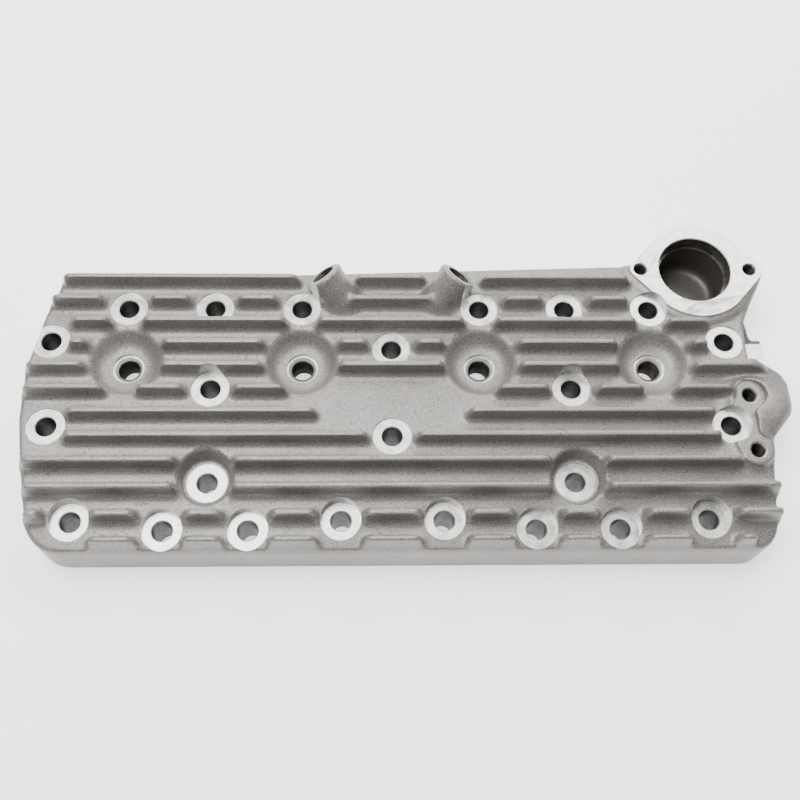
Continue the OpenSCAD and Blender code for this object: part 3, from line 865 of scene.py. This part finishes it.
# tapped holes: radius of the thread roots, depth and pitch
threads = {"sharp": 0.52, "start": 1.0, "short": 0.5}
threads["holes"] = {
    "plugThreads": (plugs["hole"], plugs["seat"] - plugs["roof"] - threads["short"], 1.25),
    "portThreads": (port["hole"], port["depth"], 1.41),
    "outletThreads": (outlet["boltR"], outlet["boltDepth"], 1.3),
    "bracketThreads": (pad["holeR"], pad["depth"], 1.5),
}


def threadTree():
    # one helical ridge on every point, turned by the point's own angles
    _, sizes, make, _, finishWith = treeWith("threadRidges", {
        "Radius": "Float", "Depth": "Float", "Turns": "Float", "Ridge": "Float", "Finish": "Material"})
    helix = make("GeometryNodeCurveSpiral", Resolution=40, Rotations=sizes["Turns"], Start_Radius=sizes["Radius"],
                 End_Radius=sizes["Radius"], Height=sizes["Depth"])
    level = make("GeometryNodeSetCurveNormal", {"mode": "Z_UP"}, Curve=helix.outputs[0])
    ridge = make("GeometryNodeCurvePrimitiveCircle", Resolution=4, Radius=sizes["Ridge"])
    wire = make("GeometryNodeCurveToMesh", Curve=level.outputs[0], Profile_Curve=ridge.outputs[0], Fill_Caps=True)
    turn = make("GeometryNodeInputNamedAttribute", {"data_type": "FLOAT_VECTOR"}, Name="turn")
    placed = make("GeometryNodeInstanceOnPoints", Points=sizes["Geometry"], Instance=wire.outputs[0],
                  Rotation=turn.outputs[0])
    return finishWith(placed.outputs[0])


def tapped(name, mouths, tree):
    # mouths holds the middle and the axis of every hole
    radius, depth, pitch = threads["holes"][name]
    verts, turns = [], []
    for at, axis in mouths:
        foot = Vector(at) - Vector(axis) * depth
        verts.append(tuple(foot * mm))
        turns.append(tuple(Vector((0, 0, 1)).rotation_difference(Vector(axis)).to_euler()))
    long = depth - threads["start"]
    piece = runTree(name, verts, [], tree, {"Radius": radius * mm, "Depth": long * mm, "Turns": long / pitch,
                                            "Ridge": pitch * threads["sharp"] * mm, "Finish": bored}, turns)
    print(name, len(piece.data.polygons), "faces")
    return piece


up, ridgeTree = (0, 0, 1), threadTree()
outletX, outletY = outlet["at"]
plugMouths = [((x, plugs["y"], plugs["seat"]), up) for px in plugs["x"] for x in (px, -px)]
outletMouths = [((outletX + sign * outlet["span"], outletY, outlet["face"]), up) for sign in sides]
tappedHoles = [
    tapped("plugThreads", plugMouths, ridgeTree),
    tapped("portThreads", [(portMouth(sign), portAxis(sign)) for sign in sides], ridgeTree),
    tapped("outletThreads", outletMouths, ridgeTree),
    tapped("bracketThreads", [(at + (pad["face"],), up) for at in pad["holes"]], ridgeTree),
]

# lights: place, size and watts; the camera's angles are in degrees and its focal length in pixels
studio = {
    "eye": (-0.01496, -0.2532, 0.60856), "roll": 0.85, "tip": -24.03, "swing": 2.01, "focal": 1038.3, "pixels": 800,
    "sensor": 36.0, "aim": (0, 0, 0.03), "world": 0.22, "floorHalf": 4, "floorGlow": 1.3,
    "lights": {
        "above": ((-0.35, 0.12, 1.3), (0.8, 0.6), 26),
        "rearRight": ((0.55, 0.75, 1.05), (0.8, 0.5), 15),
        "rim": ((-0.3, 1.2, 0.6), (1.2, 0.3), 14),
    },
}


def addCamera():
    roll, tip, swing = [Matrix.Rotation(math.radians(studio[key]), 3, axis)
                        for key, axis in (("roll", "Z"), ("tip", "X"), ("swing", "Y"))]
    data = bpy.data.cameras.new("camera")
    data.sensor_width = studio["sensor"]
    data.lens = studio["focal"] * studio["sensor"] / studio["pixels"]
    data.clip_end = 20
    made = linked("camera", data)
    made.matrix_world = Matrix.Translation(studio["eye"]) @ (roll @ tip @ swing).transposed().to_4x4()
    bpy.context.scene.camera = made


def softBox(name, at, size, power):
    data = bpy.data.lights.new(name, "AREA")
    data.shape, data.size, data.size_y, data.energy = "RECTANGLE", size[0], size[1], power
    made = linked(name, data)
    made.location = at
    made.rotation_euler = (Vector(studio["aim"]) - Vector(at)).to_track_quat("-Z", "Y").to_euler()


def addWorld():
    world = bpy.data.worlds.new("studio")
    bpy.context.scene.world = world
    world.use_nodes = True
    background = world.node_tree.nodes["Background"]
    background.inputs["Color"].default_value = (1, 1, 1, 1)
    background.inputs["Strength"].default_value = studio["world"]


def addFloor():
    half = studio["floorHalf"]
    mesh = bpy.data.meshes.new("floor")
    mesh.from_pydata([(-half, -half, 0), (half, -half, 0), (half, half, 0), (-half, half, 0)], [], [(0, 1, 2, 3)])
    ground = linked("floor", mesh)
    paint = Paint("floorPaint", {"Base Color": (0.95, 0.95, 0.95, 1), "Roughness": 0.9, "Specular IOR Level": 0.1,
                                 "Emission Color": (1, 1, 1, 1), "Emission Strength": studio["floorGlow"]})
    mesh.materials.append(paint.material)


addCamera()
for name, (at, size, power) in studio["lights"].items():
    softBox(name, at, size, power)
addWorld()
addFloor()
print("studio set")

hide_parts("cylinder_head")
for piece in [headCasting] + tappedHoles:
    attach(piece, "root")
